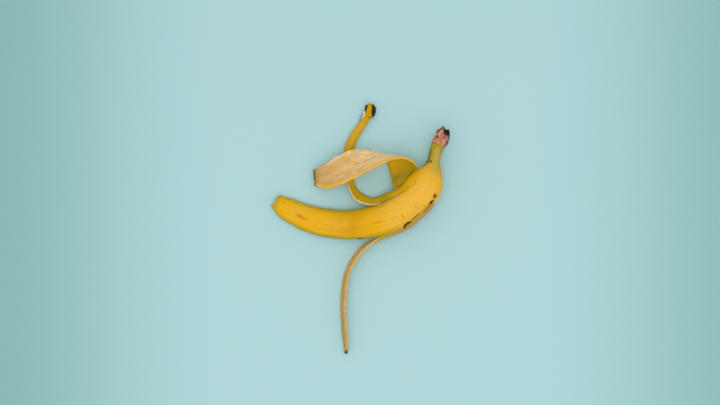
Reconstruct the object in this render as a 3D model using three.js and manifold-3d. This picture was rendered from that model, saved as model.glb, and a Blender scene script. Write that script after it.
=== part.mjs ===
// A banana peel lying on its side: the skin is still whole at the stem and the shoulder, and is torn from
// there into four strips. The broad one keeps the fruit's curve, the wide flap is folded back and turned
// over, the narrow one ends in the blossom tip, and the thin one stands on its edge. Millimetres, +Z up,
// underside on z = 0.
import * as THREE from 'three';
import { mergeVertices } from 'three/addons/utils/BufferGeometryUtils.js';
import Module from 'manifold-3d';

// Driving dimensions.
const WALL = 3; // skin and pith together
const SHRINK_AT_TEAR = 0.75; // how thick a torn edge is beside the wall
const BODY_WIDE = 19; // half the width of the body at its fullest
const BODY_TALL = 15; // half its height
const STEM_WIDE = 6.4; // half the width of the woody stem
const CAVITY_START = 4.2; // where the hollow begins, in trunk stations
const CAVITY_LENGTH = 1.3; // how many stations it takes to reach full size
const FLOOR_CUT = 60; // depth of the block that trims the flat resting spots
const TRUNK_STEPS = 58;
const TRUNK_COLUMNS = 26;
const STEPS_PER_RUNG = 4;
const STRIP_COLUMNS = 6;
const THIN_COLUMNS = 4;

// The trunk: stem, neck, shoulder, body and the broad strip, in sections from the stem's tip to the torn
// end. z is the height of the middle, wide and tall are half sizes, and right and left say how many degrees
// round from the top the skin goes on each side, looking away from the stem: 180 and 180 is a closed tube.
const TRUNK = [
  { x: 83.4, y: 100, z: 17.5, wide: STEM_WIDE, tall: 5.2, right: 180, left: 180 },
  { x: 76.4, y: 83, z: 15.8, wide: 1.08 * STEM_WIDE, tall: 6.6, right: 180, left: 180 },
  { x: 73.8, y: 76, z: 15.2, wide: 0.97 * STEM_WIDE, tall: 6.3, right: 180, left: 180 },
  { x: 71.9, y: 67, z: 15, wide: STEM_WIDE, tall: 7.2, right: 180, left: 180 },
  { x: 69.8, y: 58, z: 15, wide: 0.56 * BODY_WIDE, tall: 0.7 * BODY_TALL, right: 180, left: 180 },
  { x: 64.5, y: 45.8, z: 14.7, wide: 0.93 * BODY_WIDE, tall: 0.99 * BODY_TALL, right: 42, left: 180 },
  { x: 56.5, y: 34.9, z: 14.6, wide: BODY_WIDE, tall: BODY_TALL, right: 34, left: 62 },
  { x: 43.1, y: 20.5, z: 14, wide: 0.97 * BODY_WIDE, tall: 0.98 * BODY_TALL, right: 52, left: 50 },
  { x: 26.8, y: 10.7, z: 12.2, wide: 0.9 * BODY_WIDE, tall: 0.93 * BODY_TALL, right: 68, left: 56 },
  { x: 7, y: 5.3, z: 8.8, wide: 0.85 * BODY_WIDE, tall: 0.86 * BODY_TALL, right: 76, left: 64 },
  { x: -19.4, y: 4.3, z: 3.6, wide: 0.79 * BODY_WIDE, tall: 0.76 * BODY_TALL, right: 72, left: 72 },
  { x: -47.1, y: 8.5, z: 0.8, wide: 0.76 * BODY_WIDE, tall: 0.67 * BODY_TALL, right: 70, left: 70 },
  { x: -74, y: 20, z: -0.4, wide: 0.63 * BODY_WIDE, tall: 0.57 * BODY_TALL, right: 68, left: 68 },
  { x: -84.9, y: 27.8, z: -0.2, wide: 0.41 * BODY_WIDE, tall: 0.45 * BODY_TALL, right: 68, left: 68 },
];

// A strip is a run of rungs from its root in the trunk to its free end. Each rung goes from the edge
// ax, ay, az to the edge bx, by, bz, and its outer skin bows out from that line by bow.
const FLAP = [
  { ax: 58, ay: 57, az: 14, bx: 33.5, by: 38.5, bz: 12.5, bow: 0 },
  { ax: 51.5, ay: 64.5, az: 23.5, bx: 31, by: 46.5, bz: 9, bow: -3 },
  { ax: 43, ay: 68.2, az: 32, bx: 28.6, by: 55.5, bz: 8, bow: -4 },
  { ax: 31.4, ay: 67.2, az: 36.5, bx: 25.2, by: 65, bz: 11, bow: -4 },
  { ax: 20.6, ay: 62.4, az: 36, bx: 18.8, by: 72.8, bz: 15, bow: -2 },
  { ax: 9.4, ay: 57.2, az: 33, bx: 8.2, by: 77, bz: 18, bow: 1.5 },
  { ax: -4.2, ay: 50, az: 27, bx: -7.8, by: 78, bz: 18.5, bow: 3 },
  { ax: -19.2, ay: 43.2, az: 19.5, bx: -22.6, by: 72.4, bz: 15.5, bow: 4 },
  { ax: -33.6, ay: 38.8, az: 12, bx: -37.2, by: 63.6, bz: 11.5, bow: 3.5 },
  { ax: -45.4, ay: 41.6, az: 7.5, bx: -47, by: 58.2, bz: 8.5, bow: 2 },
];

const NARROW = [
  { ax: 65.5, ay: 58, az: 24.4, bx: 60, by: 60, bz: 16.5, bow: 2.2 },
  { ax: 57.8, ay: 49.6, az: 27.8, bx: 50, by: 54.4, bz: 18, bow: 2.6 },
  { ax: 50.4, ay: 41, az: 26.4, bx: 43.6, by: 47.6, bz: 17, bow: 2.4 },
  { ax: 41.6, ay: 36, az: 23.2, bx: 37.6, by: 41, bz: 14.6, bow: 1.6 },
  { ax: 34, ay: 31, az: 19, bx: 30.6, by: 37.8, bz: 11.5, bow: 1.2 },
  { ax: 23, ay: 26, az: 14, bx: 22.6, by: 34.6, bz: 7, bow: 1 },
  { ax: 10, ay: 23.4, az: 11.5, bx: 11.6, by: 31, bz: 3, bow: 1.2 },
  { ax: -3.6, ay: 27.6, az: 10.4, bx: 0.6, by: 36, bz: 1.6, bow: 1.2 },
  { ax: -11, ay: 37, az: 9.6, bx: -4.2, by: 41.6, bz: 1, bow: 1.2 },
  { ax: -15, ay: 51, az: 8, bx: -7.4, by: 52, bz: 1, bow: 1.4 },
  { ax: -18, ay: 66, az: 6, bx: -7.4, by: 66.8, bz: 1.6, bow: 1.8 },
  { ax: -17.4, ay: 78, az: 4.4, bx: -6.6, by: 78.4, bz: 2.4, bow: 2.2 },
  { ax: -12.4, ay: 91, az: 3.6, bx: -2.8, by: 88.6, bz: 2.8, bow: 2.6 },
  { ax: -4.8, ay: 102.8, az: 3.2, bx: 3.4, by: 99, bz: 3, bow: 2.8 },
  { ax: -0.2, ay: 108, az: 3.4, bx: 7, by: 104.6, bz: 3.4, bow: 2.8 },
  { ax: 3.8, ay: 112.6, az: 5, bx: 10.8, by: 110.6, bz: 5, bow: 2.6 },
  { ax: 4.9, ay: 116.6, az: 6.6, bx: 11.2, by: 116, bz: 6.6, bow: 2.2 },
  { ax: 6, ay: 120.4, az: 6.8, bx: 11.4, by: 120.2, bz: 6.8, bow: 2 },
  { ax: 6.6, ay: 123.6, az: 5.2, bx: 11.4, by: 123.4, bz: 5.2, bow: 1.6 },
];

const THIN = [
  { ax: 71.4, ay: 37.4, az: 23.4, bx: 76, by: 34, bz: 12, bow: 1.4 },
  { ax: 65.4, ay: 26.2, az: 22, bx: 70.8, by: 20.6, bz: 11, bow: 1.8 },
  { ax: 57.6, ay: 19, az: 22.6, bx: 63, by: 12.6, bz: 10.6, bow: 2 },
  { ax: 49, ay: 10.8, az: 21.8, bx: 53.6, by: 4.2, bz: 10, bow: 2 },
  { ax: 40.2, ay: 4.4, az: 20.6, bx: 44, by: -2, bz: 9, bow: 1.8 },
  { ax: 31, ay: -1.2, az: 18.8, bx: 33, by: -6.8, bz: 7, bow: 1.6 },
  { ax: 20.6, ay: -8.4, az: 15.6, bx: 20, by: -10.8, bz: 4, bow: 1.4 },
  { ax: 11.4, ay: -15, az: 13, bx: 8.8, by: -14.2, bz: 2, bow: 1.1 },
  { ax: 3, ay: -22.6, az: 11.4, bx: -0.6, by: -20.6, bz: 0, bow: 0.9 },
  { ax: -6.4, ay: -35.3, az: 10.2, bx: -10.2, by: -33.6, bz: -0.2, bow: 0.8 },
  { ax: -12, ay: -50, az: 9.6, bx: -16, by: -49, bz: -0.3, bow: 0.7 },
  { ax: -14.4, ay: -67, az: 9.2, bx: -18.8, by: -67, bz: -0.3, bow: 0.7 },
  { ax: -14.4, ay: -85, az: 8.6, bx: -18.8, by: -85, bz: -0.3, bow: 0.7 },
  { ax: -13.8, ay: -101, az: 7.6, bx: -17.8, by: -101, bz: -0.3, bow: 0.6 },
  { ax: -13, ay: -117, az: 6, bx: -15.8, by: -117, bz: -0.2, bow: 0.5 },
  { ax: -13.4, ay: -124, az: 4, bx: -14.2, by: -124, bz: 0.4, bow: 0.2 },
];

// The blossom tip: a blunt knob under the narrow strip's end.
const TIP = { x: 9.4, y: 117.1, z: 4.5, width: 11, length: 13.6, flat: 0.8, turn: 0.12 };

const UP = new THREE.Vector3(0, 0, 1);

// Every key of the rows at a place counted in rows, on a smooth curve through them: 2.5 is half way from
// row 2 to row 3.
function blend(rows, place) {
  const i = Math.min(Math.floor(place), rows.length - 2);
  const f = place - i;
  const row = (j) => rows[THREE.MathUtils.clamp(j, 0, rows.length - 1)];
  const middle = (j) => new THREE.Vector2(...('x' in row(j)
    ? [row(j).x, row(j).y]
    : [(row(j).ax + row(j).bx) / 2, (row(j).ay + row(j).by) / 2]));
  const span = (j) => middle(j).distanceTo(middle(j + 1));
  const value = {};
  for (const key of Object.keys(rows[0])) {
    const slope = (j) => ((row(j + 1)[key] - row(j - 1)[key]) / (span(j - 1) + span(j))) * span(i);
    const [p, q, m, n] = [row(i)[key], row(i + 1)[key], slope(i), slope(i + 1)];
    const cubic = 2 * p - 2 * q + m + n;
    const square = 3 * q - 3 * p - 2 * m - n;
    value[key] = ((cubic * f + square) * f + m) * f + p;
  }
  return value;
}

// A closed mesh from an outer and an inner grid of points, joined round their rims. Columns that meet need
// no rim.
function shell(outer, inner) {
  const points = [];
  const quad = (a, b, c, d) => points.push(a, b, c, a, c, d);
  const last = outer[0].length - 1;
  const rows = outer.length - 1;
  for (let i = 0; i < rows; i += 1) {
    for (let j = 0; j < last; j += 1) {
      quad(outer[i][j], outer[i + 1][j], outer[i + 1][j + 1], outer[i][j + 1]);
      quad(inner[i][j], inner[i][j + 1], inner[i + 1][j + 1], inner[i + 1][j]);
    }
    const torn = outer[i + 1][0].distanceTo(outer[i + 1][last]) > 0.01;
    if (torn) {
      quad(outer[i][0], inner[i][0], inner[i + 1][0], outer[i + 1][0]);
      quad(outer[i][last], outer[i + 1][last], inner[i + 1][last], inner[i][last]);
    }
  }
  for (let j = 0; j < last; j += 1) {
    quad(outer[0][j], outer[0][j + 1], inner[0][j + 1], inner[0][j]);
    quad(outer[rows][j], inner[rows][j], inner[rows][j + 1], outer[rows][j + 1]);
  }
  return new THREE.BufferGeometry().setFromPoints(points);
}

// How far the hollow inside the trunk has opened at a place, from 0 to 1.
function hollow(place) {
  const g = THREE.MathUtils.clamp((place - CAVITY_START) / CAVITY_LENGTH, 0, 1);
  return Math.sqrt(1 - (1 - g) ** 2);
}

function trunk() {
  const outer = [];
  const inner = [];
  const end = TRUNK.length - 1;
  for (let i = 0; i <= TRUNK_STEPS; i += 1) {
    const place = (end * i) / TRUNK_STEPS;
    const cut = blend(TRUNK, place);
    const before = blend(TRUNK, Math.max(place - 0.05, 0));
    const after = blend(TRUNK, Math.min(place + 0.05, end));
    const left = new THREE.Vector3(before.y - after.y, after.x - before.x, 0).normalize();
    const middle = new THREE.Vector3(cut.x, cut.y, cut.z);
    const open = hollow(place);
    const tip = i === 0 ? 0 : 1;
    const [outerRow, innerRow] = [[], []];
    for (let j = 0; j <= TRUNK_COLUMNS; j += 1) {
      const round = THREE.MathUtils.lerp(-180, 180, j / TRUNK_COLUMNS);
      const turn = THREE.MathUtils.clamp(round, -cut.right, cut.left);
      const angle = THREE.MathUtils.degToRad(turn);
      const section = (wide, tall) => middle.clone()
        .addScaledVector(left, wide * Math.sin(angle))
        .addScaledVector(UP, tall * Math.cos(angle));
      outerRow.push(section(cut.wide * tip, cut.tall * tip));
      innerRow.push(section((cut.wide - WALL) * open, (cut.tall - WALL) * open));
    }
    outer.push(outerRow);
    inner.push(innerRow);
  }
  const start = inner.findLastIndex((row, i) => hollow((end * i) / TRUNK_STEPS) === 0);
  for (let i = 0; i < start; i += 1) {
    inner[i] = inner[start];
  }
  return shell(outer, inner);
}

// side is 1 where the outer skin lies along forward cross across, and -1 where it lies the other way.
function strip(rungs, columns, side, wall) {
  const outer = [];
  const inner = [];
  const end = rungs.length - 1;
  const ends = (place) => {
    const rung = blend(rungs, THREE.MathUtils.clamp(place, 0, end));
    const a = new THREE.Vector3(rung.ax, rung.ay, rung.az);
    const b = new THREE.Vector3(rung.bx, rung.by, rung.bz);
    return { a, b, bow: rung.bow };
  };
  for (let i = 0; i <= end * STEPS_PER_RUNG; i += 1) {
    const place = i / STEPS_PER_RUNG;
    const { a, b, bow } = ends(place);
    const across = b.clone().sub(a);
    const length = across.length();
    const behind = ends(place - 0.1);
    const ahead = ends(place + 0.1);
    const forward = ahead.a.add(ahead.b).sub(behind.a).sub(behind.b);
    const out = forward.cross(across).normalize().multiplyScalar(side);
    const [outerRow, innerRow] = [[], []];
    for (let j = 0; j <= columns; j += 1) {
      const v = (2 * j) / columns - 1;
      const point = a.clone().lerp(b, j / columns).addScaledVector(out, bow * (1 - v * v));
      const normal = out.clone().multiplyScalar(length * length).addScaledVector(across, 4 * bow * v);
      normal.normalize();
      const thick = wall * (1 - (1 - SHRINK_AT_TEAR) * v ** 4);
      outerRow.push(point);
      innerRow.push(point.clone().addScaledVector(normal, -thick));
    }
    outer.push(outerRow);
    inner.push(innerRow);
  }
  return shell(outer, inner);
}

function blossomTip() {
  const half = TIP.width / 2;
  const profile = [
    [0, -0.5],
    [0.6, -0.5],
    [0.8, -0.25],
    [1, 0.1],
    [0.94, 0.3],
    [0.62, 0.42],
    [0.36, 0.43],
    [0.26, 0.5],
    [0, 0.5],
  ];
  const points = profile.map(([out, along]) => new THREE.Vector2(out * half, along * TIP.length));
  const geometry = new THREE.LatheGeometry(points, 14);
  geometry.scale(1, 1, TIP.flat);
  geometry.rotateZ(TIP.turn);
  geometry.translate(TIP.x, TIP.y, TIP.z);
  return geometry;
}

function floorBlock() {
  return new THREE.BoxGeometry(400, 400, FLOOR_CUT).translate(0, 0, -FLOOR_CUT / 2);
}

const wasm = await Module();
wasm.setup();

// A geometry as a solid that can be joined and cut, turned right side out if it is inside out.
function solid(geometry) {
  const bare = new THREE.BufferGeometry().setAttribute('position', geometry.getAttribute('position'));
  const merged = mergeVertices(geometry.index ? bare.setIndex(geometry.index) : bare, 1e-4);
  const vertProperties = new Float32Array(merged.getAttribute('position').array);
  const corners = [...merged.index.array];
  const point = (i) => new THREE.Vector3().fromArray(vertProperties, 3 * i);
  const triVerts = [];
  let volume = 0;
  for (let i = 0; i < corners.length; i += 3) {
    const [a, b, c] = corners.slice(i, i + 3);
    if (a !== b && b !== c && c !== a) {
      triVerts.push(a, b, c);
      volume += point(a).dot(point(b).cross(point(c)));
    }
  }
  if (volume < 0) {
    triVerts.reverse();
  }
  const joined = new wasm.Mesh({ numProp: 3, vertProperties, triVerts: Uint32Array.from(triVerts) });
  return new wasm.Manifold(joined);
}

function peel() {
  const whole = solid(trunk())
    .add(solid(strip(FLAP, STRIP_COLUMNS, 1, WALL)))
    .add(solid(strip(NARROW, THIN_COLUMNS, -1, WALL)))
    .add(solid(strip(THIN, THIN_COLUMNS, 1, WALL)))
    .add(solid(blossomTip()))
    .subtract(solid(floorBlock()));
  // Where walls overlap, a join can seal a pocket between them. The largest shell is the outside, without
  // pockets.
  const shells = whole.decompose().sort((a, b) => b.volume() - a.volume());
  const mesh = shells[0].getMesh();
  const geometry = new THREE.BufferGeometry();
  geometry.setAttribute('position', new THREE.BufferAttribute(mesh.vertProperties, 3));
  geometry.setIndex(new THREE.BufferAttribute(mesh.triVerts, 1));
  geometry.computeVertexNormals();
  return geometry;
}

const skin = new THREE.MeshStandardMaterial({ color: '#dca526', roughness: 0.5, metalness: 0 });
const group = new THREE.Group();
const mesh = new THREE.Mesh(peel(), skin);
mesh.name = 'peel';
group.add(mesh);

export default group;
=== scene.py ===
"""The skin of a peeled banana: whole at the stem and the shoulder, torn below them into four strips."""

import math

import bmesh
import bpy
import numpy as np
from bpy.props import FloatProperty, FloatVectorProperty, IntProperty, PointerProperty
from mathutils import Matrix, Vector


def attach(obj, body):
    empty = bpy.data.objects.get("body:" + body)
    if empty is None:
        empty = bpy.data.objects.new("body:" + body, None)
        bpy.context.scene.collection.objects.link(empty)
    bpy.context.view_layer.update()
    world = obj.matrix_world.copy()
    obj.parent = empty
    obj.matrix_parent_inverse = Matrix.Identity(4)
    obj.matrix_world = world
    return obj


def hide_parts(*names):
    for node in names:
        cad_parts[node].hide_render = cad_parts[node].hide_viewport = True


bl_info = {
    "name": "Banana peel",
    "version": (1, 0, 0),
    "blender": (4, 5, 0),
    "location": "View3D > Sidebar > Peel",
    "description": "Builds a torn banana peel with its stem, blossom tip, strings and frayed edges",
    "category": "Object",
}

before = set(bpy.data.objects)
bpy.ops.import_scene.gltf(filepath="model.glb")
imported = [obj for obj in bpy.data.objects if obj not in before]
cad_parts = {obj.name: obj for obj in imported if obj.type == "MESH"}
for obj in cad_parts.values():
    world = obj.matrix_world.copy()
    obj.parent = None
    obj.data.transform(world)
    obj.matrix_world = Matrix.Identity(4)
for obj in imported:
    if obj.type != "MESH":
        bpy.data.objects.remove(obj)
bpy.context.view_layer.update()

MM = 0.001


# --- Sizes and colours ---


def linear(code):
    """An sRGB hex colour as three linear values."""
    shares = [int(code[i : i + 2], 16) / 255 for i in (1, 3, 5)]
    return [c / 12.92 if c <= 0.04045 else ((c + 0.055) / 1.055) ** 2.4 for c in shares]


def colour(name, description, code):
    return FloatVectorProperty(
        name=name,
        description=description,
        default=linear(code),
        min=0,
        max=1,
        subtype="COLOR",
    )


def length(name, description, default):
    return FloatProperty(
        name=name,
        description=description,
        default=default * MM,
        min=0,
        precision=5,
        unit="LENGTH",
    )


class PeelSizes(bpy.types.PropertyGroup):
    """Sizes of the peel."""

    wall: length("Wall", "Thickness of skin and pith together", 3)
    body_wide: length("Body half width", "Half the width of the body at its fullest", 19)
    body_tall: length("Body half height", "Half the height of the body at its fullest", 15)
    stem_wide: length("Stem half width", "Half the width of the woody stem", 6.4)
    keel: length("Keel", "How far the five blunt keels stand out along the fruit", 0.28)
    ragged: length("Raggedness", "How far a torn edge wanders to either side", 0.25)
    string_radius: length("String radius", "Radius of the strings that cling to the pith", 0.26)
    fibre_length: length("Fibre length", "Length of the fibres that stand out of a torn edge", 1.6)
    fibre_spacing: length("Fibre spacing", "Distance between fibres along a torn edge", 0.9)
    torn_share: FloatProperty(
        name="Torn edge thickness",
        description="Thickness beside a tear as a share of the wall",
        default=0.75,
        min=0.2,
        max=1,
        subtype="FACTOR",
    )
    seed: IntProperty(name="Seed", description="Seed of everything that is scattered", default=7)


class PeelColours(bpy.types.PropertyGroup):
    """Colours of the peel and of the floor under it."""

    ripe: colour("Ripe yellow", "Main colour of the skin", "#E8B33C")
    deep: colour("Deep yellow", "Skin where it is a little riper", "#E2AB04")
    # Also painted shade: it darkens the flap's root in the loop's hollow and the narrow strip's bend.
    olive_and_shade: colour("Olive", "Skin that is still green, as at the neck", "#9C8E0C")
    # Also painted shade: it darkens a band across the body below the loop, and the flap's root.
    amber: colour("Amber", "Skin that has started to brown", "#B88200")
    bruise: colour("Bruise", "Pale brown marks in the skin", "#98600F")
    tan: colour("Tan", "Skin that has dried beside a tear", "#AC8848")
    scar: colour("Scar", "Dark brown scars and specks", "#260F06")
    # Painted shade: this dull olive darkens the crease by the shoulder, the loop's hollow, the neck's left
    # flank and the narrow strip's right edge.
    shade_olive: colour("Moss", "Dull green streaks by the neck", "#5C5A1C")
    husk: colour("Husk", "Greyish yellow where the neck starts to dry", "#B6A648")
    torn: colour("Torn rind", "Rind in the torn edge", "#DDAE44")
    pith: colour("Pith", "Inner side", "#D6AC66")
    # Also painted light: it lightens the inner side near each strip's root.
    cream_and_light: colour("Cream", "Thicker and fresher patches of the inner side", "#EACCA0")
    string: colour("String", "Strings and drying fibres on the inner side", "#C0965C")
    rust: colour("Rust", "Pith that has browned at an end or a tear", "#A4803C")
    wood: colour("Stem wood", "Dry end of the stem", "#B27850")
    wood_pale: colour("Pale stem wood", "Paler patches of the dry stem", "#CA9674")
    wood_dark: colour("Stem creases", "Creases of the dry stem", "#5A2E18")
    wood_pink: colour("Pink stem wood", "Pinkish patches of the dry stem", "#C07E74")
    wood_orange: colour("Orange stem wood", "Foot of the dry stem, next to the ring", "#CE8F4E")
    # Painted shade: a mauve band just below the charred break.
    mauve_shade: colour("Mauve stem wood", "Wood beside the charred break", "#8A5E66")
    char: colour("Black", "Broken stem end and blossom end", "#1C140D")
    floor: colour("Floor", "Matt floor", "#ABD1D3")
    # Painted shade: the floor darkens towards its left and right as the light falls off.
    floor_edge_shade: colour("Far floor", "Matt floor towards its left and right", "#7FB0AE")


# --- The shape, in millimetres ---


def trunk_rows(sizes):
    """Sections from stem tip to torn end: the middle's x, y and z, half width, half height, and how many
    degrees round from the top the skin goes to the right and to the left."""
    stem = sizes.stem_wide / MM
    wide = sizes.body_wide / MM
    tall = sizes.body_tall / MM
    return [
        (83.4, 100, 17.5, stem, 5.2, 180, 180),
        (76.4, 83, 15.8, 1.08 * stem, 6.6, 180, 180),
        (73.8, 76, 15.2, 0.97 * stem, 6.3, 180, 180),
        (71.9, 67, 15, stem, 7.2, 180, 180),
        (69.8, 58, 15, 0.56 * wide, 0.7 * tall, 180, 180),
        (64.5, 45.8, 14.7, 0.93 * wide, 0.99 * tall, 42, 180),
        (56.5, 34.9, 14.6, wide, tall, 34, 62),
        (43.1, 20.5, 14, 0.97 * wide, 0.98 * tall, 52, 50),
        (26.8, 10.7, 12.2, 0.9 * wide, 0.93 * tall, 68, 56),
        (7, 5.3, 8.8, 0.85 * wide, 0.86 * tall, 76, 64),
        (-19.4, 4.3, 3.6, 0.79 * wide, 0.76 * tall, 72, 72),
        (-47.1, 8.5, 0.8, 0.76 * wide, 0.67 * tall, 70, 70),
        (-74, 20, -0.4, 0.63 * wide, 0.57 * tall, 68, 68),
        (-84.9, 27.8, -0.2, 0.41 * wide, 0.45 * tall, 68, 68),
    ]


# A strip is a run of rungs from its root to its free end: one edge's x, y and z, the other edge's, and how
# far the outer skin bows out between them.
FLAP = [
    (58, 57, 14, 33.5, 38.5, 12.5, 0),
    (51.5, 64.5, 23.5, 31, 46.5, 9, -3),
    (43, 68.2, 32, 28.6, 55.5, 8, -4),
    (31.4, 67.2, 36.5, 25.2, 65, 11, -4),
    (20.6, 62.4, 36, 18.8, 72.8, 15, -2),
    (9.4, 57.2, 33, 8.2, 77, 18, 1.5),
    (-4.2, 50, 27, -7.8, 78, 18.5, 3),
    (-19.2, 43.2, 19.5, -22.6, 72.4, 15.5, 4),
    (-33.6, 38.8, 12, -37.2, 63.6, 11.5, 3.5),
    (-45.4, 41.6, 7.5, -47, 58.2, 8.5, 2),
]
NARROW = [
    (65.5, 58, 24.4, 60, 60, 16.5, 2.2),
    (57.8, 49.6, 27.8, 50, 54.4, 18, 2.6),
    (50.4, 41, 26.4, 43.6, 47.6, 17, 2.4),
    (41.6, 36, 23.2, 37.6, 41, 14.6, 1.6),
    (34, 31, 19, 30.6, 37.8, 11.5, 1.2),
    (23, 26, 14, 22.6, 34.6, 7, 1),
    (10, 23.4, 11.5, 11.6, 31, 3, 1.2),
    (-3.6, 27.6, 10.4, 0.6, 36, 1.6, 1.2),
    (-11, 37, 9.6, -4.2, 41.6, 1, 1.2),
    (-15, 51, 8, -7.4, 52, 1, 1.4),
    (-18, 66, 6, -7.4, 66.8, 1.6, 1.8),
    (-17.4, 78, 4.4, -6.6, 78.4, 2.4, 2.2),
    (-12.4, 91, 3.6, -2.8, 88.6, 2.8, 2.6),
    (-4.8, 102.8, 3.2, 3.4, 99, 3, 2.8),
    (-0.2, 108, 3.4, 7, 104.6, 3.4, 2.8),
    (3.8, 112.6, 5, 10.8, 110.6, 5, 2.6),
    (4.9, 116.6, 6.6, 11.2, 116, 6.6, 2.2),
    (6, 120.4, 6.8, 11.4, 120.2, 6.8, 2),
    (6.6, 123.6, 5.2, 11.4, 123.4, 5.2, 1.6),
]
THIN = [
    (71.4, 37.4, 23.4, 76, 34, 12, 1.4),
    (65.4, 26.2, 22, 70.8, 20.6, 11, 1.8),
    (57.6, 19, 22.6, 63, 12.6, 10.6, 2),
    (49, 10.8, 21.8, 53.6, 4.2, 10, 2),
    (40.2, 4.4, 20.6, 44, -2, 9, 1.8),
    (31, -1.2, 18.8, 33, -6.8, 7, 1.6),
    (20.6, -8.4, 15.6, 20, -10.8, 4, 1.4),
    (11.4, -15, 13, 8.8, -14.2, 2, 1.1),
    (3, -22.6, 11.4, -0.6, -20.6, 0, 0.9),
    (-6.4, -35.3, 10.2, -10.2, -33.6, -0.2, 0.8),
    (-12, -50, 9.6, -16, -49, -0.3, 0.7),
    (-14.4, -67, 9.2, -18.8, -67, -0.3, 0.7),
    (-14.4, -85, 8.6, -18.8, -85, -0.3, 0.7),
    (-13.8, -101, 7.6, -17.8, -101, -0.3, 0.6),
    (-13, -117, 6, -15.8, -117, -0.2, 0.5),
    (-13.4, -124, 4, -14.2, -124, 0.4, 0.2),
]
FLAKE = [
    (2.6, 117, 4.6, 4.9, 117.4, 5.6, 0.3),
    (2, 115, 4.2, 4.8, 114.6, 5.4, 0.4),
    (1.3, 112.6, 3.6, 3.8, 111.6, 4.8, 0.4),
    (0.8, 110.8, 3, 2.2, 110, 3.8, 0.2),
]
# Each strip's rungs, its seed, 1 where its skin lies along forward cross across and -1 where it lies the
# other way, and its thickness beside the wall.
STRIPS = {
    "flap": (FLAP, 100, 1, 1),
    "narrow": (NARROW, 200, -1, 1),
    "thin": (THIN, 300, 1, 1),
    "flake": (FLAKE, 500, -1, 0.25),
}
GROWN = ("flap", "narrow", "thin")
# The middle line of the woody stem end: x, y, z, half width and half height.
STEM = [
    (75.6, 80.2, 15.7, 5.8, 5.6),
    (76.3, 82.8, 15.8, 7.0, 6.5),
    (78.3, 87.2, 16.3, 7.3, 6.2),
    (80.6, 92.2, 16.8, 7.0, 5.7),
    (81.4, 97, 17.3, 6.1, 5.2),
    (81.6, 102.8, 17.8, 5.4, 4.6),
]
# Where the stem broke: y at each angle in degrees from the top, to the left when looking out of the break.
BREAK = [
    (-180, 97.5),
    (-135, 97),
    (-90, 95.6),
    (-75, 97.2),
    (-59, 98.6),
    (-40, 98.2),
    (-14, 98.4),
    (-3, 100),
    (5, 101.8),
    (14, 101),
    (32, 99.6),
    (45, 98.6),
    (60, 97.6),
    (72, 98.4),
    (90, 96.6),
    (135, 98.2),
    (180, 97.5),
]

# The crater in the break, from its rim to its middle: share of the stem's radius, and how deep.
CRATER = [(0.94, 0.1), (0.86, 0.7), (0.72, 1.8), (0.55, 2.5), (0.36, 2.3), (0.18, 2.6), (0.03, 2.8)]

# The blossom tip: half sizes, middle, and its turn to the left in radians.
KNOB_SIZE = (4.5, 6.5, 3.2)
KNOB_PLACE = (9.5, 117.4, 3.5)
KNOB_TURN = 0.14

RING_PLACE = 1.0  # where the neck's skin starts, counted in trunk rows
CAVITY_START = 4.2  # where the hollow begins, in trunk rows
CAVITY_LENGTH = 1.3  # how many rows it takes to reach full size
ROW_STEP = 1.1  # distance between rows of a mesh
TRUNK_COLUMNS = 108
STEM_COLUMNS = 96
STEM_ROWS = 40
COLUMN_STEP = 0.7  # distance between columns across a strip
EDGE_INSET = 0.35  # how far a strip's skin stops short of its rungs, where the torn edge stands out
RIM_STEPS = 3  # points between skin and pith round a torn edge
NO_TEAR = 30  # how far from a tear whole skin counts as being
TRUNK_TAPER = 2.5  # how far in from a tear the thinning of the trunk's wall fades to about a third
STRIP_TAPER = 2.2  # the same on the strips
TORN_END = 5  # length over which the raggedness of a torn end fades
FLOOR_GAP = 0.02  # clearance between the blossom tip and the floor
MERGE_GAP = 0.002  # points closer than this are one
RADIAN = 57.3  # degrees in a radian
BLOCK_SIDE = 0.6  # side of the block that cuts the peel off at the floor, in metres
FEWEST_FACES = 1000  # fewer faces than this mean that the solids didn't join
OUTER, INNER, RIM = range(3)  # the three materials of a shell
UP = np.array([0.0, 0.0, 1.0])

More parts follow.
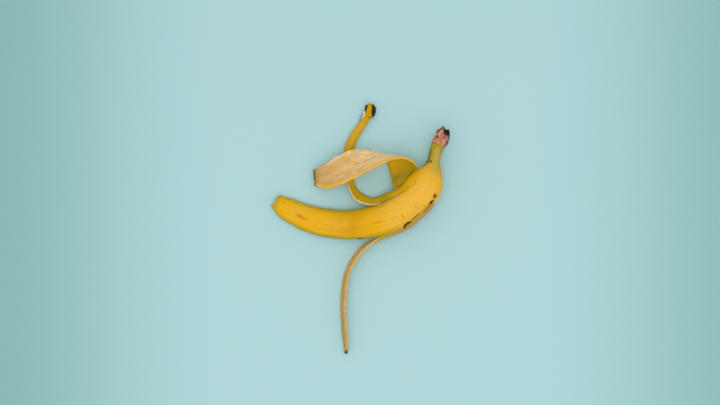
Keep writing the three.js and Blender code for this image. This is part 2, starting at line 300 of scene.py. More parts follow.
# Each skin at shares of its length from root to end: how green, amber, deep yellow, tan and charred it is,
# how green towards its torn edges, and how much pale flesh shows in the first and in the second of them.
TONES = {
    "trunk": [
        (0, 0.95, 0, 0, 0.35, 0, 0.1, 0.2, 0.2),
        (0.1, 0.6, 0, 0, 0.2, 0, 0.1, 0.2, 0.2),
        (0.16, 0.15, 0, 0, 0, 0, 0.1, 0.2, 0.2),
        (0.22, 0, 0, 0, 0, 0, 0.1, 0.1, 0.2),
        (0.4, 0, 0, 0.2, 0, 0, 0.2, 0, 0),
        # From 0.5 to 0.76 the amber is painted shade: a darker band across the body below the flap's loop.
        (0.5, 0, 0.05, 0.9, 0, 0, 0.8, 0, 0),
        (0.6, 0, 0.45, 1, 0, 0, 0.8, 0, 0),
        (0.67, 0, 0.4, 1, 0, 0, 0.8, 0, 0),
        (0.76, 0, 0, 0.7, 0, 0, 0.8, 0.1, 0.1),
        (1, 0, 0.05, 0.8, 0, 0, 0.5, 0.5, 0.5),
    ],
    "flap": [
        # Near the root the olive and amber are partly painted shade in the loop's hollow, partly greener
        # skin.
        (0, 1, 0.2, 1, 0, 0, 0.5, 0, 0.3),
        (0.1, 0.7, 0.3, 1, 0, 0, 0.5, 0, 0.4),
        (0.2, 0.1, 0.25, 1, 0, 0, 0.5, 0, 0.4),
        (0.5, 0.3, 0.2, 1, 0, 0, 0.5, 0, 0.5),
        (0.7, 0.5, 0, 1, 0.05, 0, 0.5, 0, 0.9),
        (0.82, 0.3, 0.15, 1, 0.3, 0, 0.5, 0, 0.9),
        (0.95, 0.3, 0.4, 1, 0.5, 0.1, 0.5, 0, 0.5),
        (0.985, 0.3, 0.4, 1, 0.9, 0.4, 0.5, 0, 0.5),
        (1, 0.2, 0.6, 1, 0.9, 1.2, 0.5, 0, 0.5),
    ],
    "narrow": [
        (0, 0.1, 0.2, 0.8, 0, 0, 0, 0, 0),
        (0.2, 0.1, 0.3, 1, 0, 0, 0.1, 0, 0),
        # From 0.28 to 0.5 the olive is partly painted shade, where the strip bends down in the flap's
        # shadow.
        (0.28, 0.5, 0.1, 1, 0, 0, 0.4, 0.2, 0),
        (0.33, 0.4, 0, 1, 0, 0, 0.4, 1, 0),
        (0.5, 0.4, 0, 1, 0, 0, 0.4, 1, 0),
        (0.56, 0.1, 0.4, 0.9, 0.1, 0, 0.2, 0.3, 0),
        (0.8, 0, 0.4, 0.5, 0.2, 0, 0.2, 0.3, 0),
        (0.86, 0, 0.4, 0.3, 0.2, 0, 0.1, 0.4, 0),
        (0.93, 0.3, 0.4, 1, 0, 0, 0.1, 0, 0),
        (1, 0.2, 0.5, 1, 0, 0, 0.1, 0, 0),
    ],
    "thin": [
        (0, 0, 0.3, 0.5, 0.6, 0, 0, 0.2, 0.3),
        (0.3, 0.1, 0.2, 0.5, 0.6, 0, 0.2, 0.3, 0.5),
        (0.45, 0.4, 0.2, 0.8, 0.3, 0, 0.4, 0.4, 0.6),
        (0.6, 0.5, 0.2, 0.8, 0.5, 0, 0.4, 0.4, 0.6),
        (0.97, 0.5, 0.2, 0.8, 0.65, 0, 0.4, 0.4, 0.6),
        (1, 0.5, 0.5, 1, 0.5, 0.9, 0.4, 0.2, 0.5),
    ],
    "flake": [(0, 0, 0, 0, 0, 0, 0, 1, 1), (1, 0, 0, 0, 0, 0, 0, 1, 1)],
}


def unit(vectors):
    size = np.linalg.norm(vectors, axis=-1, keepdims=True)
    return vectors / np.maximum(size, 1e-9)


def smooth(value, low, high):
    """0 below low, 1 above high, and an even S between them."""
    share = np.clip((value - low) / (high - low), 0, 1)
    return share * share * (3 - 2 * share)


def wobble(seed, wave, along, across=0.0, cross_wave=10.0):
    """Smooth random numbers, mostly from -1 to 1, that swing about once in a wave along or across."""
    rng = np.random.default_rng(seed)
    total = 0
    for share in (0.45, 0.7, 1, 1.6, 2.3):
        turns = along / (wave * share) + rng.uniform(-1, 1) * across / (cross_wave * share)
        total = total + share**0.5 * np.sin(2 * math.pi * (turns + rng.uniform()))
    return total / 2.6


class Run:
    """Rows joined by a smooth curve. Places are counted in rows: 2.5 is half way from row 2 to row 3."""

    def __init__(self, rows, strip):
        self.rows = np.array(rows, float)
        self.last = len(rows) - 1
        self.middles = self.rows[:, 0:2]
        if strip:
            self.middles = (self.rows[:, 0:2] + self.rows[:, 3:5]) / 2

    def at(self, places):
        """Every column of the table at each place."""
        i = np.clip(np.floor(places).astype(int), 0, self.last - 1)
        f = (places - i)[:, None]
        clamp = [np.clip(i + k, 0, self.last) for k in (-1, 0, 1, 2)]
        middles = [self.middles[k] for k in clamp]
        spans = [np.linalg.norm(b - a, axis=1) for a, b in zip(middles, middles[1:])]
        before, start, end, after = [self.rows[k] for k in clamp]
        here = spans[1][:, None]
        m = (end - before) / (spans[0][:, None] + here) * here
        n = (after - start) / (spans[2][:, None] + here) * here
        cubic = 2 * start - 2 * end + m + n
        square = 3 * end - 3 * start - 2 * m - n
        return ((cubic * f + square) * f + m) * f + start

    def even(self, start, step, middle):
        """Places from start to the end, about step apart along the line that middle(rows) gives, and how
        far along it each is."""
        fine = np.linspace(start, self.last, 2000)
        line = middle(self.at(fine))
        steps = np.linalg.norm(np.diff(line, axis=0), axis=1)
        far = np.concatenate([[0], np.cumsum(steps)])
        lengths = np.linspace(0, far[-1], max(2, round(far[-1] / step)) + 1)
        return np.interp(lengths, far, fine), lengths


def tone_of(name, share, side):
    """The fields of TONES at shares of a skin's length, and at sides from 0 to 1 across it."""
    table = np.array(TONES[name])
    columns = [np.interp(share, table[:, 0], column) for column in table.T[1:]]
    made = dict(zip(("green", "amber", "deep", "tan", "charred", "edge_green"), columns))
    made["flesh"] = columns[6] * (1 - side) + columns[7] * side
    made["strip"] = 0 * side + list(TONES).index(name)
    return made


class Shell:
    """The points, faces and fields of a skin: its outer side, its inner side and its torn rim."""

    def __init__(self, outer, inner, fields):
        self.columns = outer.shape[1]
        rows = outer.shape[0]
        self.points = [outer.reshape(-1, 3), inner.reshape(-1, 3)]
        self.offset = rows * self.columns
        self.fields = {key: [value.reshape(-1), value.reshape(-1)] for key, value in fields.items()}
        self.fields["depth"] = [np.zeros(self.offset), np.ones(self.offset)]
        self.faces = []
        self.kinds = []
        for i in range(rows - 1):
            for j in range(self.columns - 1):
                a, b = i * self.columns + j, (i + 1) * self.columns + j
                self.quad(OUTER, a, b, b + 1, a + 1)
                self.quad(INNER, *[self.offset + k for k in (a, a + 1, b + 1, b)])

    def quad(self, kind, *corners):
        self.faces.append(corners)
        self.kinds.append(kind)

    def rim(self, loop, away, bulge, closed):
        """Joins both sides along a loop of row and column pairs, with a rounded and uneven edge."""
        index = np.array([i * self.columns + j for i, j in loop])
        outer = self.points[0][index]
        inner = self.points[1][index]
        first = sum(len(p) for p in self.points)
        for k in range(RIM_STEPS):
            share = (k + 1) / (RIM_STEPS + 1)
            lift = bulge * math.sin(math.pi * share)
            self.points.append(outer + (inner - outer) * share + away * lift[:, None])
            for key, parts in self.fields.items():
                if key != "depth":
                    parts.append(parts[0][index])
            self.fields["depth"].append(np.full(len(loop), share))
        rings = [index] + [first + k * len(loop) + np.arange(len(loop)) for k in range(RIM_STEPS)]
        rings.append(index + self.offset)
        count = len(loop) if closed else len(loop) - 1
        for n in range(count):
            m = (n + 1) % len(loop)
            for near, far in zip(rings, rings[1:]):
                self.quad(RIM, near[n], far[n], far[m], near[m])

    def mesh(self, name, materials):
        """The shell as a closed mesh in metres, with a material each for outer side, inner side and rim."""
        made = bpy.data.meshes.new(name)
        made.from_pydata(np.concatenate(self.points) * MM, [], [tuple(map(int, f)) for f in self.faces])
        for material in materials:
            made.materials.append(material)
        for key, parts in self.fields.items():
            layer = made.attributes.new(key, "FLOAT", "POINT")
            layer.data.foreach_set("value", np.concatenate(parts).astype(np.float32))
        made.polygons.foreach_set("material_index", self.kinds)
        clean(made)
        return made


def clean(mesh):
    """Merges coinciding points, drops faces without area and turns every face outwards."""
    work = bmesh.new()
    work.from_mesh(mesh)
    bmesh.ops.remove_doubles(work, verts=work.verts, dist=MERGE_GAP * MM)
    bmesh.ops.dissolve_degenerate(work, edges=work.edges, dist=MERGE_GAP / 2 * MM)
    bmesh.ops.recalc_face_normals(work, faces=work.faces)
    if work.calc_volume(signed=True) < 0:
        bmesh.ops.reverse_faces(work, faces=work.faces)
    work.to_mesh(mesh)
    work.free()


def hollow(places):
    """How far the hollow has opened at places in the trunk, from 0 to 1."""
    share = np.clip((places - CAVITY_START) / CAVITY_LENGTH, 0, 1)
    return np.sqrt(1 - (1 - share) ** 2)


def torn_end(seed, place, along):
    """How far a torn end juts out or falls short, at places from -1 to 1 across it."""
    ragged = 0.35 * wobble(seed, 0.9, place) + 0.12 * wobble(seed + 50, 0.25, place)
    return ragged * smooth(along, along[-1] - TORN_END, along[-1])[:, None]


def rim_bulge(seed, count):
    """How far a torn edge's middle stands out at each of its points."""
    place = np.arange(count)
    return 0.5 + 0.22 * wobble(seed, 7, place) + 0.16 * wobble(seed + 30, 2.6, place)


def sheet(name, grid, side):
    """The shell of a grid, with its fields. The side is the place across it, from 0 to 1."""
    fields = {key: grid[key] for key in ("along", "across", "tear")}
    fields.update(tone_of(name, grid["along"] / grid["along"][-1, 0], side))
    return Shell(grid["outer"], grid["inner"], fields)


def trunk_grid(sizes):
    """The points of the trunk's two sides, row by row, and what its materials and its rim need."""
    run = Run(trunk_rows(sizes), strip=False)
    places, along = run.even(RING_PLACE, ROW_STEP, lambda rows: rows[:, 0:3])
    cut = run.at(places)
    before = run.at(np.maximum(places - 0.05, 0))
    after = run.at(np.minimum(places + 0.05, run.last))
    flat = np.stack([before[:, 1] - after[:, 1], after[:, 0] - before[:, 0], 0 * places], 1)
    left = unit(flat)[:, None]
    forward = unit(after[:, 0:3] - before[:, 0:3])
    radius = (cut[:, 3] + cut[:, 4])[:, None] / 2
    # Both torn edges wander, and where they haven't parted yet they meet underneath.
    edges = []
    for angle_to_edge, seed, wave in ((cut[:, 5:6], 1, 9), (cut[:, 6:7], 2, 8)):
        wander = sizes.ragged / MM / radius * RADIAN * wobble(seed, wave, along[:, None])
        edges.append(np.where(angle_to_edge < 179, angle_to_edge + wander, 180))
    right, leftmost = edges
    turn = np.clip(np.linspace(-180, 180, TRUNK_COLUMNS + 1)[None], -right, leftmost)
    angle = np.radians(turn)
    reach = along[:, None] + 0 * turn
    tear = np.minimum(turn + right, leftmost - turn) * radius / RADIAN
    tear = np.where(right + leftmost > 359, NO_TEAR, tear)
    tear = np.minimum(tear, along[-1] - reach)
    # Five blunt keels run along the fruit, and the skin between them dips here and there.
    keel = sizes.keel / MM * np.cos(5 * angle + 0.9 + 0.004 * reach) * smooth(reach, 12, 45)
    dents = 0.18 * wobble(3, 21, reach, np.sin(angle) * radius, 17) * smooth(reach, 5, 30)
    grow = (keel + dents)[..., None]
    middle = cut[:, None, 0:3]
    wide = cut[:, 3][:, None, None]
    tall = cut[:, 4][:, None, None]
    sine, cosine = np.sin(angle)[..., None], np.cos(angle)[..., None]
    outer = middle + left * (wide + grow) * sine + UP * (tall + grow) * cosine
    thin = (1 - sizes.torn_share) * np.exp(-tear / TRUNK_TAPER)
    wall = sizes.wall / MM * (1 - thin) + 0.12 * wobble(4, 4, reach, tear, 6)
    fibres = 0.07 * np.cos(44 * angle + 2 * wobble(5, 60, reach))
    fibres += 0.05 * np.cos(71 * angle + wobble(6, 40, reach))
    wall = (wall + fibres)[..., None]
    opened = hollow(places)[:, None, None]
    inner = left * (wide + grow - wall) * sine + UP * (tall + grow - wall) * cosine
    inner = middle + opened * inner
    # Before the hollow opens, its side is drawn together in one point.
    start = int(np.max(np.nonzero(opened[:, 0, 0] == 0)[0]))
    inner[:start] = inner[start]
    jut = forward[:, None] * torn_end(8, turn / 70, along)[..., None]
    return {
        "outer": outer + jut,
        "inner": inner + jut,
        "along": reach,
        "across": turn * radius / RADIAN,
        "tear": tear,
        "turn": turn,
        "forward": forward,
        "tangent": unit(left * wide * cosine - UP * tall * sine),
    }


def trunk(sizes, materials):
    """The neck, shoulder, body and broad strip as one closed shell."""
    grid = trunk_grid(sizes)
    outer, turn, forward, tangent = [grid[key] for key in ("outer", "turn", "forward", "tangent")]
    shell = sheet("trunk", grid, turn / 360 + 0.5)
    rows, last = len(forward), TRUNK_COLUMNS
    for j in range(last):
        shell.quad(OUTER, j, j + 1, shell.offset + j + 1, shell.offset + j)
    # The rim starts in the last row where the skin still goes all the way round.
    gaps = np.linalg.norm(outer[:, 0] - outer[:, -1], axis=1)
    first = int(np.nonzero(gaps > 0.01)[0][0]) - 1
    inside = np.nonzero((turn[-1] > turn[-1, 0] + 0.1) & (turn[-1] < turn[-1, -1] - 0.1))[0]
    loop = [(i, 0) for i in range(first, rows)]
    loop += [(rows - 1, int(j)) for j in inside]
    loop += [(i, last) for i in range(rows - 1, first - 1, -1)]
    away = []
    for i, j in loop:
        outwards = (j == last) * tangent[i, last] - (j == 0) * tangent[i, 0]
        away.append(outwards + (i == rows - 1) * forward[i])
    bulge = rim_bulge(9, len(loop))
    bulge[0] = bulge[-1] = 0
    shell.rim(loop, unit(np.array(away)), bulge, closed=False)
    return shell.mesh("trunk", materials)


def strip_grid(name, sizes):
    """The points of a strip's two sides, row by row, and what its materials and its rim need."""
    rungs, seed, side_of_skin, thickness = STRIPS[name]
    run = Run(rungs, strip=True)
    places, along = run.even(0, ROW_STEP, lambda rows: (rows[:, 0:3] + rows[:, 3:6]) / 2)
    cut = run.at(places)
    behind = run.at(np.clip(places - 0.1, 0, run.last))
    ahead = run.at(np.clip(places + 0.1, 0, run.last))
    across = cut[:, 3:6] - cut[:, 0:3]
    wide = np.linalg.norm(across, axis=1)
    half = wide[:, None] / 2
    forward = unit(ahead[:, 0:3] + ahead[:, 3:6] - behind[:, 0:3] - behind[:, 3:6])
    out = unit(np.cross(forward, across)) * side_of_skin
    # v is the place across the strip, from about -1 at one torn edge to about 1 at the other.
    columns = int(max(wide) / COLUMN_STEP) + 4
    v = np.linspace(-1, 1, columns + 1)[None] + 0 * places[:, None]
    v = v * (1 - EDGE_INSET / half)
    first, second = wobble(seed, 8, along)[:, None], wobble(seed + 1, 9, along)[:, None]
    v = v + (first * (1 - v) + second * (1 + v)) * (sizes.ragged / MM) / 2 / half
    side = v * half
    reach = along[:, None] + 0 * v
    tear = np.minimum(np.minimum(v - v[:, :1], v[:, -1:] - v) * half, along[-1] - reach)
    bow = cut[:, 6][:, None]
    lift = bow * (1 - v**2) + 0.15 * wobble(seed + 2, 19, reach, side, 13)
    middle = (cut[:, 0:3] + cut[:, 3:6])[:, None] / 2
    outer = middle + across[:, None] * v[..., None] / 2 + out[:, None] * lift[..., None]
    normal = unit(out[:, None] * (wide**2)[:, None, None] + across[:, None] * (4 * bow * v)[..., None])
    thin = (1 - sizes.torn_share) * np.exp(-tear / STRIP_TAPER)
    fibres = 0.1 * wobble(seed + 3, 90, reach, side, 1.7) + 0.08 * wobble(seed + 4, 60, reach, side, 3.1)
    wall = sizes.wall / MM * (1 - thin) + fibres + 0.12 * wobble(seed + 5, 5, reach, side, 7)
    inner = outer - normal * wall[..., None] * thickness
    jut = forward[:, None] * torn_end(seed + 6, v, along)[..., None]
    return {
        "outer": outer + jut,
        "inner": inner + jut,
        "along": reach,
        "across": side,
        "tear": tear,
        "normal": normal,
        "forward": forward,
        "sideways": unit(across),
    }


def strip(name, sizes, materials):
    """A torn strip as one closed shell."""
    seed, thickness = STRIPS[name][1], STRIPS[name][3]
    grid = strip_grid(name, sizes)
    forward, sideways, across = [grid[key] for key in ("forward", "sideways", "across")]
    shell = sheet(name, grid, (across / np.abs(across[:, :1]) + 1) / 2)
    rows, last = len(forward), across.shape[1] - 1
    loop = [(i, 0) for i in range(rows)] + [(rows - 1, j) for j in range(1, last)]
    loop += [(i, last) for i in range(rows - 1, -1, -1)] + [(0, j) for j in range(last - 1, 0, -1)]
    away = []
    for i, j in loop:
        outwards = int(j == last) - int(j == 0)
        onwards = int(i == rows - 1) - int(i == 0)
        away.append(outwards * sideways[i] + onwards * forward[i])
    shell.rim(loop, unit(np.array(away)), rim_bulge(seed + 7, len(loop)) * thickness, closed=True)
    return shell.mesh(name, materials)


def break_line(turn):
    """How far up y the stem reaches at each angle round it, with small teeth."""
    table = np.array(BREAK, float)
    angle = np.radians(turn)
    teeth = 0.55 * np.cos(17 * angle + 1) + 0.45 * np.cos(29 * angle + 4)
    return np.interp(turn, table[:, 0], table[:, 1]) + teeth * 0.6 * (0.6 + 0.4 * np.cos(3 * angle))


def stem_ring(run, places, turn, shrink, back):
    """A ring of points round the stem at places along it, shrunk to a share of its radius and set back."""
    angle = np.radians(turn)
    cut = run.at(places)
    step = run.at(np.minimum(places + 0.02, run.last)) - run.at(np.maximum(places - 0.02, 0))
    forward = unit(step[:, 0:3])
    left = unit(np.stack([-forward[:, 1], forward[:, 0], 0 * turn], 1))
    up = unit(np.cross(forward, left))
    up = up * np.sign(up[:, 2:3])
    far = np.linalg.norm(cut[:, 0:2] - np.array(STEM[1][0:2]), axis=1)
    creases = 0.3 * np.cos(9 * angle + 0.05 * far) + 0.22 * np.cos(14 * angle + 1 + 0.12 * far)
    creases += 0.12 * np.cos(31 * angle)
    lumps = 0.35 * wobble(41, 6, far, np.sin(angle) * 6, 5) * smooth(far, 0.5, 3)
    grow = (creases * smooth(far, 0.2, 4) * 0.8 + lumps) * min(1, 1.3 * shrink)
    wide = (cut[:, 3] + grow) * shrink
    tall = (cut[:, 4] + grow) * shrink
    rough = back * (1 + 0.3 * wobble(43, 3, turn / 20 + 7 * shrink))
    ring = cut[:, 0:3] + left * (wide * np.sin(angle))[:, None] + up * (tall * np.cos(angle))[:, None]
    return ring - forward * rough[:, None]


def stem_mesh():
    """The dry stem end, from just inside the neck to the ragged and cratered break."""
    run = Run(STEM, strip=False)
    count = STEM_COLUMNS
    turn = np.linspace(-180, 180, count + 1)[:-1]
    end = break_line(turn)
    fine = np.linspace(0, run.last, 400)
    last = np.interp(end, run.at(fine)[:, 1], fine)
    rings, below = [], []
    for share in np.linspace(0, 1, STEM_ROWS):
        rings.append(stem_ring(run, last * share, turn, 1, 0))
        below.append((1 - share) * (end - STEM[1][1]))
    for shrink, back in CRATER:
        rings.append(stem_ring(run, last, turn, shrink, back))
        below.append(0 * turn - back)
    faces = []
    around = [(j, (j + 1) % count) for j in range(count)]
    top = len(rings) * count
    for i in range(0, top - count, count):
        faces += [(i + j, i + k, i + count + k, i + count + j) for j, k in around]
    for j, k in around:
        faces.append((top - count + j, top - count + k, top))
        faces.append((k, j, top + 1))
    made = bpy.data.meshes.new("stem")
    points = np.concatenate([*rings, rings[-1].mean(0)[None], rings[0].mean(0)[None]])
    made.from_pydata(points * MM, [], faces)
    for key, parts in (("below", below), ("turn", [turn] * len(rings))):
        layer = made.attributes.new(key, "FLOAT", "POINT")
        values = np.concatenate([*parts, [parts[-1].mean()], [parts[0].mean()]])
        layer.data.foreach_set("value", values.astype(np.float32))
    clean(made)
    return made


def knob_mesh():
    """The dried blossom end under the ridge: a dark, lumpy and flattened cap."""
    made = bpy.data.meshes.new("blossom_tip")
    work = bmesh.new()
    bmesh.ops.create_icosphere(work, subdivisions=6, radius=1)
    points = np.array([v.co for v in work.verts])
    x, y, z = points.T
    lobes = 1 + 0.16 * np.cos(5 * np.arctan2(z, x) + 0.6) * np.sqrt(np.maximum(1 - y**2, 0))
    waist = 1 - 0.22 * smooth(-y, 0.2, 1) + 0.1 * y
    lumps = 1 + 0.05 * wobble(61, 0.5, x + 2 * z, y, 0.4) + 0.025 * wobble(62, 0.16, x - z, y + z, 0.13)
    square = (np.abs(x) ** 3 + np.abs(y) ** 3 + np.abs(z) ** 3) ** (-1 / 3)
    points = points * (square * lumps)[:, None]
    points[:, [0, 2]] *= (lobes * waist)[:, None]
    points[:, 1] -= 0.25 * smooth(points[:, 1], 0.4, 1) * np.exp(-((x / 0.3) ** 2 + (z / 0.5) ** 2))
    cosine, sine = math.cos(KNOB_TURN), math.sin(KNOB_TURN)
    spin = np.array([[cosine, -sine, 0], [sine, cosine, 0], [0, 0, 1]])
    points = (points * np.array(KNOB_SIZE)) @ spin.T + np.array(KNOB_PLACE)
    points[:, 2] = np.maximum(points[:, 2], FLOOR_GAP)
    for vert, point in zip(work.verts, points):
        vert.co = point * MM
    work.to_mesh(made)
    work.free()
    clean(made)
    return made


def place_object(name, mesh, materials):
    """A mesh as a smooth object at the origin, with its materials. Nothing reaches below the floor."""
    places = np.empty(3 * len(mesh.vertices), np.float32)
    mesh.vertices.foreach_get("co", places)
    places[2::3] = np.maximum(places[2::3], 0)
    mesh.vertices.foreach_set("co", places)
    piece = bpy.data.objects.new(name, mesh)
    bpy.context.scene.collection.objects.link(piece)
    for material in materials:
        mesh.materials.append(material)
    mesh.polygons.foreach_set("use_smooth", [True] * len(mesh.polygons))
    return piece


def ride(piece):
    """Fixes a finished piece to the frame."""
    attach(piece, "root")
    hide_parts("peel")


def plain(name, source):
    """The evaluated source as a plain mesh, with the source removed."""
    graph = bpy.context.evaluated_depsgraph_get()
    shape = source.evaluated_get(graph)
    made = bpy.data.meshes.new_from_object(shape, preserve_all_data_layers=True, depsgraph=graph)
    made.name = name
    bpy.data.objects.remove(source)
    return made


def join_solids(name, meshes):
    """One closed mesh from several that overlap, cut off flat at the floor."""
    parts = [bpy.data.objects.new(mesh.name, mesh) for mesh in meshes]
    for part in parts:
        bpy.context.scene.collection.objects.link(part)
    block = bpy.data.meshes.new("below_floor")
    work = bmesh.new()
    bmesh.ops.create_cube(work, size=BLOCK_SIDE)
    bmesh.ops.translate(work, verts=work.verts, vec=(0, 0, -BLOCK_SIDE / 2))
    work.to_mesh(block)
    work.free()
    floor = bpy.data.objects.new("below_floor", block)
    bpy.context.scene.collection.objects.link(floor)
    base = parts[0]
    for other, operation in [(part, "UNION") for part in parts[1:]] + [(floor, "DIFFERENCE")]:
        cut = base.modifiers.new(other.name, "BOOLEAN")
        cut.operation = operation
        cut.solver = "MANIFOLD"
        cut.object = other
    made = plain(name, base)
    for other in parts[1:] + [floor]:
        bpy.data.objects.remove(other)
    if len(made.polygons) < FEWEST_FACES:
        raise RuntimeError(f"{name}: the strips didn't join")
    keep_largest(made)
    return made


def keep_largest(mesh):
    """Drops sealed pockets and crumbs: only the largest connected part stays."""
    work = bmesh.new()
    work.from_mesh(mesh)
    left = set(work.verts)
    parts = []
    while left:
        stack = [left.pop()]
        part = list(stack)
        while stack:
            for edge in stack.pop().link_edges:
                for vert in edge.verts:
                    if vert in left:
                        left.remove(vert)
                        stack.append(vert)
                        part.append(vert)
        parts.append(part)
    parts.sort(key=len)
    for part in parts[:-1]:
        bmesh.ops.delete(work, geom=part, context="VERTS")
    work.to_mesh(mesh)
    work.free()


# --- Materials ---


def add(tree, kind, inputs=None, **settings):
    """Adds a node with its settings. inputs gives each socket a value or the output that feeds it."""
    made = tree.nodes.new(kind)
    for key, value in settings.items():
        setattr(made, key, value)
    for key, value in (inputs or {}).items():
        if isinstance(value, bpy.types.NodeSocket):
            tree.links.new(value, made.inputs[key])
        else:
            made.inputs[key].default_value = value
    return made


def blank(name):
    """A new material with an empty node tree."""
    made = bpy.data.materials.new(name)
    made.use_nodes = True
    made.node_tree.nodes.clear()
    return made, made.node_tree


def millimetres(tree):
    """The place on the piece, in millimetres."""
    place = add(tree, "ShaderNodeTexCoord").outputs["Object"]
    return add(tree, "ShaderNodeVectorMath", {0: place, "Scale": 1 / MM}, operation="SCALE").outputs[0]


def fields(tree, *names):
    """Fields of the mesh, in the order of their names."""
    return [add(tree, "ShaderNodeAttribute", attribute_name=name).outputs["Fac"] for name in names]


def flow(tree):
    """The place across and along a strip, in millimetres, so that a pattern follows it."""
    across, along, number = fields(tree, "across", "along", "strip")
    return add(tree, "ShaderNodeCombineXYZ", {0: across, 1: along, 2: number}).outputs[0]


def stretched(tree, vector, wide, long, detail=3.0):
    """Noise whose grains are wide across and long along, in millimetres, from 0 to 1."""
    grains = {0: vector, 1: (1 / wide, 1 / long, STRIP_APART)}
    scaled = add(tree, "ShaderNodeVectorMath", grains, operation="MULTIPLY").outputs[0]
    return add(tree, "ShaderNodeTexNoise", {"Vector": scaled, "Scale": 1, "Detail": detail}).outputs["Fac"]


def paint(tree, under, over, value, low, high, most=1.0):
    """Lays one colour over another: none where the value is low, and as much as most where it is high."""
    limits = {"Value": value, "From Min": low, "From Max": high, "To Max": most}
    share = add(tree, "ShaderNodeMapRange", limits, interpolation_type="SMOOTHSTEP")
    # Sockets 6 and 7 are the colours that the node mixes, and its third output is the mixed colour.
    layers = {0: share.outputs[0], 6: under, 7: [*over, 1]}
    return add(tree, "ShaderNodeMix", layers, data_type="RGBA").outputs[2]


def coat(tree, tone, surface, relief=None, strength=0.0, depth=0.0):
    """Ends a material with its colour, how its surface meets the light, and a relief up to depth in mm."""
    inputs = {"Base Color": tone, **surface}
    if relief is not None:
        bumps = {"Height": relief, "Strength": strength, "Distance": depth * MM}
        inputs["Normal"] = add(tree, "ShaderNodeBump", bumps).outputs[0]
    shader = add(tree, "ShaderNodeBsdfPrincipled", inputs)
    add(tree, "ShaderNodeOutputMaterial", {"Surface": shader.outputs[0]})


GLOW_DEPTH = 1.5  # how far in mm light goes into rind and flesh
STRIP_APART = 5  # how far apart the strips' patterns start, so that no two are alike
MARK_MIDDLE = 25  # height in mm of the middle of a mark, which is an oval as high as the whole peel
MARK_HALF_HEIGHT = 26  # half its height in mm

# Marks on the skin, each over those before it, some of them painted shade in dull olive: x and y of the
# middle, turn in degrees, half length and half width in mm, strength, colour name.
MARKS = [
    (72.5, 32.6, 60, 3.4, 2.4, 0.5, "bruise"),
    (68.6, 25.0, 45, 5.0, 2.2, 0.6, "bruise"),
    (64.6, 18.9, 45, 4.0, 1.5, 0.6, "bruise"),
    (53.5, 12.0, 40, 6.5, 0.9, 0.85, "bruise"),
    (45.5, 4.2, 40, 5.0, 2.8, 0.5, "bruise"),
    (54.5, 21.3, -45, 2.8, 0.45, 0.6, "bruise"),
    # Painted shade in the hollow of the flap's loop.
    (36.1, 50.0, 35, 9.0, 5.0, 0.35, "shade_olive"),
    (41.2, 11.6, -58, 3.2, 0.45, 0.6, "bruise"),
    (32.8, 11.3, 85, 2.0, 0.45, 0.5, "bruise"),
    (74.6, 71.5, 80, 10.0, 4.0, 0.6, "husk"),
    (73.6, 60.0, 95, 7.0, 3.0, 0.35, "husk"),
    # Painted shade along the narrow strip's right edge.
    (-4.6, 84.0, 70, 9.0, 0.7, 0.5, "shade_olive"),
    # Painted shade in the crease where the flap leaves the shoulder, below the neck's specks.
    (62.0, 62.5, 35, 6.5, 0.8, 0.7, "shade_olive"),
    # Painted shade on the neck's left flank.
    (67.2, 72.5, 80, 9.0, 1.7, 0.75, "shade_olive"),
    (-61.0, 12.6, -22, 4.5, 1.9, 0.7, "bruise"),
    (-56.5, 10.2, -20, 6.0, 1.5, 0.4, "bruise"),
    (-77.4, 25.5, 10, 1.4, 0.9, 0.6, "bruise"),
    (17.0, 6.5, 8, 5.5, 1.0, 0.4, "bruise"),
    (8.0, 110.8, -28, 2.8, 1.2, 0.9, "bruise"),
    (72.7, 32.3, 60, 2.0, 1.2, 1.0, "scar"),
    (69.2, 26.5, 50, 3.4, 0.9, 1.0, "scar"),
    (43.2, 2.6, 74, 3.2, 1.3, 1.0, "scar"),
    (46.6, 5.8, 27, 4.2, 1.0, 0.95, "scar"),
    (64.8, 66.4, 70, 1.6, 1.0, 1.0, "scar"),
    (68.8, 66.3, 0, 1.5, 1.2, 0.75, "scar"),
    (-0.9, 92.4, 62, 14.0, 0.6, 0.6, "scar"),
    (-1.2, -9.8, 3, 3.0, 1.2, 1.0, "scar"),
    (10.8, 115.6, 88, 4.5, 0.9, 0.7, "scar"),
]


def marked(tree, skin, place, colours):
    """Lays every mark over the skin, with edges that wander."""
    wander = add(tree, "ShaderNodeTexNoise", {"Vector": place, "Scale": 0.7, "Detail": 3.0})
    centred = {0: wander.outputs["Color"], 1: (0.5, 0.5, 0.5)}
    shift = add(tree, "ShaderNodeVectorMath", centred, operation="SUBTRACT").outputs[0]
    moved = {0: shift, 1: (2.4, 2.4, 0), 2: place}
    loose = add(tree, "ShaderNodeVectorMath", moved, operation="MULTIPLY_ADD").outputs[0]
    for x, y, turn, long, wide, strength, tint in MARKS:
        soft = 0.75 if tint == "scar" else 0.5
        oval = {
            "Vector": loose,
            "Location": (x, y, MARK_MIDDLE),
            "Rotation": (0, 0, math.radians(turn)),
            "Scale": (long, wide, MARK_HALF_HEIGHT),
        }
        local = add(tree, "ShaderNodeMapping", oval, vector_type="TEXTURE")
        far = add(tree, "ShaderNodeVectorMath", {0: local.outputs[0]}, operation="LENGTH").outputs["Value"]
        skin = paint(tree, skin, getattr(colours, tint), far, 1.8 - soft, soft, strength)
    return skin


